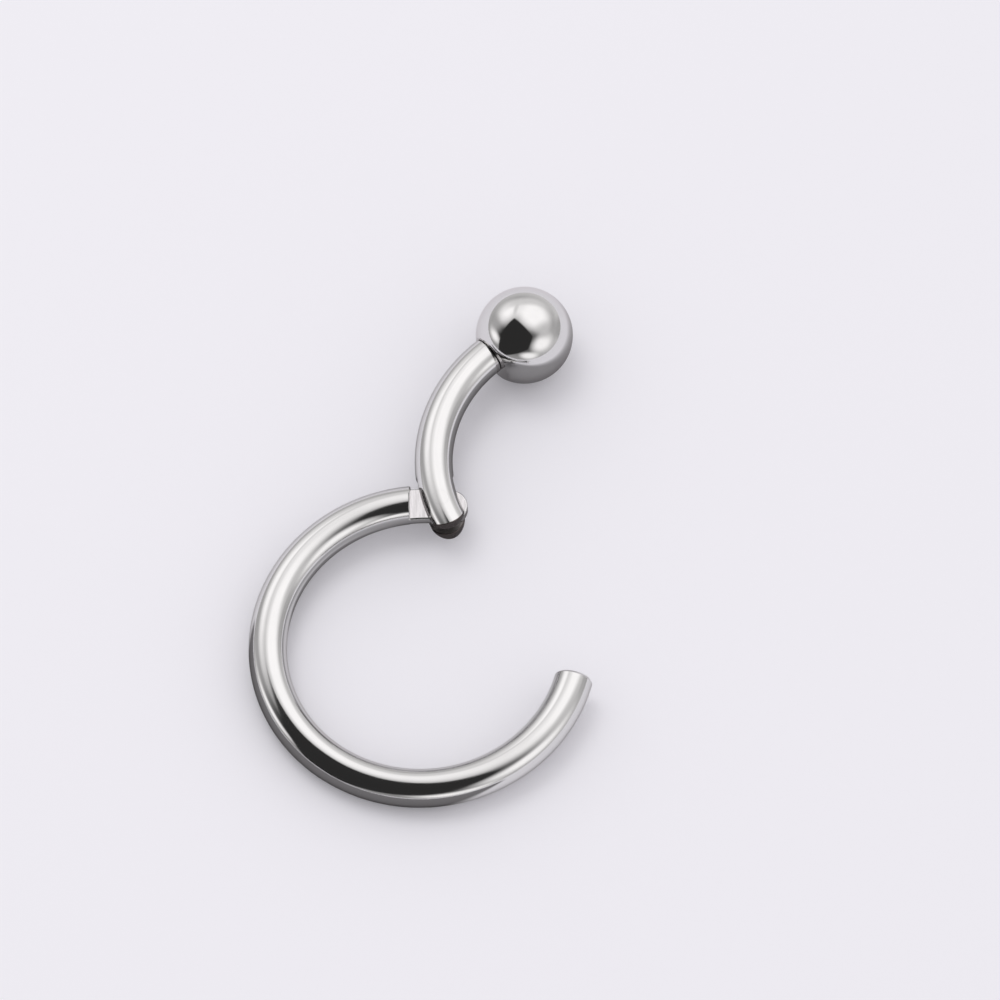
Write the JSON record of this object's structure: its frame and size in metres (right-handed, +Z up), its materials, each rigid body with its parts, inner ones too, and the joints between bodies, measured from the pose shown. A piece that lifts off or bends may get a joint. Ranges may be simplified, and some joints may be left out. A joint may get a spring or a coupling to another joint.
{
  "type": "hinged septum ring",
  "caption": "Polished steel wire ring for the septum: an open hoop with a hinged, curved arm whose ball closes against the hoop's free end.",
  "frame": {"origin": "on the surface that the ring lies on, below the middle of its box", "axes": "+Z up, +Y across the surface from the hoop towards the ball, +X from the hoop's closed side towards its mouth"},
  "size_m": [0.0107, 0.0178, 0.0031],
  "materials": {
    "wire_steel": "mirror polished surgical steel",
    "ball_steel": "mirror polished surgical steel",
    "pin_steel": "polished surgical steel, ground flush"
  },
  "bodies": {
    "hoop_body": {"hoop": "wire_steel"},
    "arm_body": {"arm": "wire_steel", "ball": "ball_steel", "hinge_pin": "pin_steel"}
  },
  "joints": [
    {"name": "arm_hinge", "type": "hinge", "parent": "hoop_body", "child": "arm_body", "pos_m": [0.00064, 0.00137, 0.00116], "axis": [-0.036, -0.0498, 0.9981], "range_deg": [-110.3, 15]}
  ]
}
